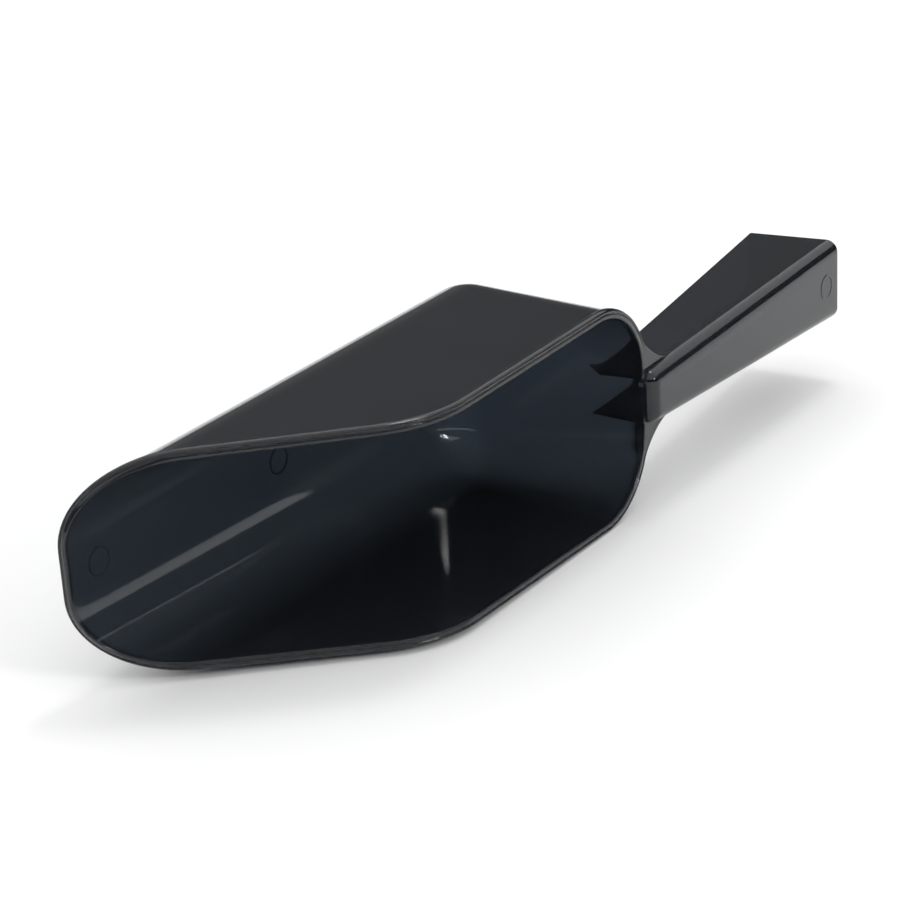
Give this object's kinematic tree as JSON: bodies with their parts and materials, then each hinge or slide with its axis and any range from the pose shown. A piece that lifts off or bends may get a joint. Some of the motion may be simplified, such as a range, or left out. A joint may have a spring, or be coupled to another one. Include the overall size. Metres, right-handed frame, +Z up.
{
  "type": "hand scoop",
  "caption": "Deep U-shaped plastic hand scoop with a slanting mouth, beaded rim and tapered channel handle, lying on its side.",
  "frame": {"origin": "centre of the object's bounding box at its base, on the surface that the scoop lies on", "axes": "+Z up from the surface; +X along the handle, away from the mouth; -Y out of the bowl's opening"},
  "size_m": [0.3204, 0.0815, 0.0729],
  "materials": {
    "smoke_plastic": "glossy dark smoke-grey plastic, slightly see-through where it is thin"
  },
  "bodies": {
    "root": {"bowl_floor": "smoke_plastic", "side_wall_upper": "smoke_plastic", "side_wall_lower": "smoke_plastic", "back_wall": "smoke_plastic", "rim_bead": "smoke_plastic", "gusset_upper": "smoke_plastic", "gusset_lower": "smoke_plastic", "handle_web": "smoke_plastic", "handle_nose": "smoke_plastic", "handle_flange_upper": "smoke_plastic", "handle_flange_lower": "smoke_plastic", "handle_end_wall": "smoke_plastic", "floor_mark_front": "smoke_plastic", "floor_mark_middle": "smoke_plastic", "web_mark": "smoke_plastic"}
  },
  "joints": []
}
